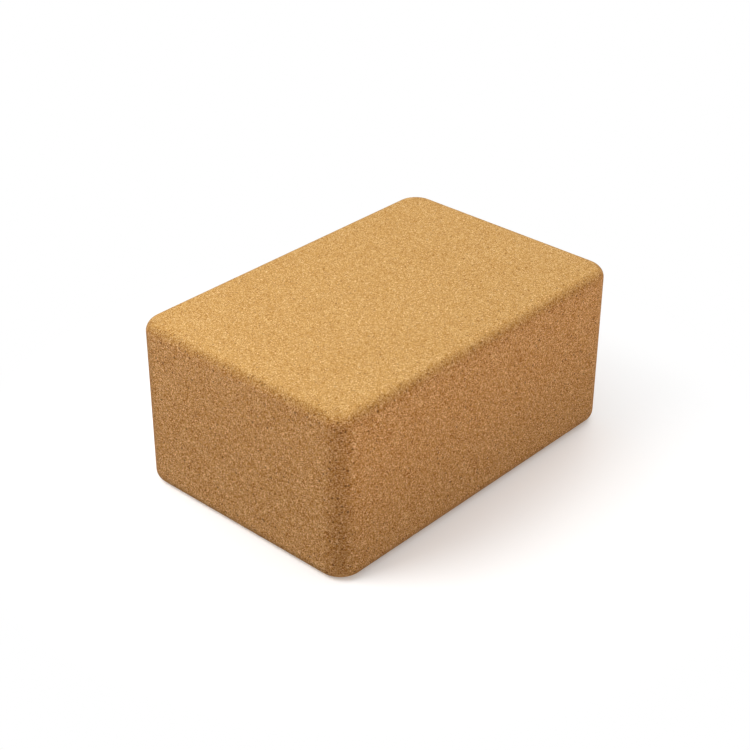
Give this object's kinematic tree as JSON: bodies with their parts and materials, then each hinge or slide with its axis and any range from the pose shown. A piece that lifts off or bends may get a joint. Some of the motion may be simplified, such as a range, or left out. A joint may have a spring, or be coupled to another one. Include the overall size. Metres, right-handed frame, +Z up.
{
  "type": "yoga block",
  "caption": "Solid cork yoga block: a round-edged brick that lies flat, on its side or on end as a firm, grippy support for a hand, foot or seat.",
  "frame": {"origin": "centre of the base face that the block lies flat on", "axes": "+X along the length, +Y across the width, +Z up through the height"},
  "size_m": [0.2286, 0.1524, 0.1016],
  "materials": {
    "cork": "matte sanded agglomerated cork of fine granules, tan with darker specks"
  },
  "bodies": {
    "root": {"cork_block": "cork"}
  },
  "joints": []
}
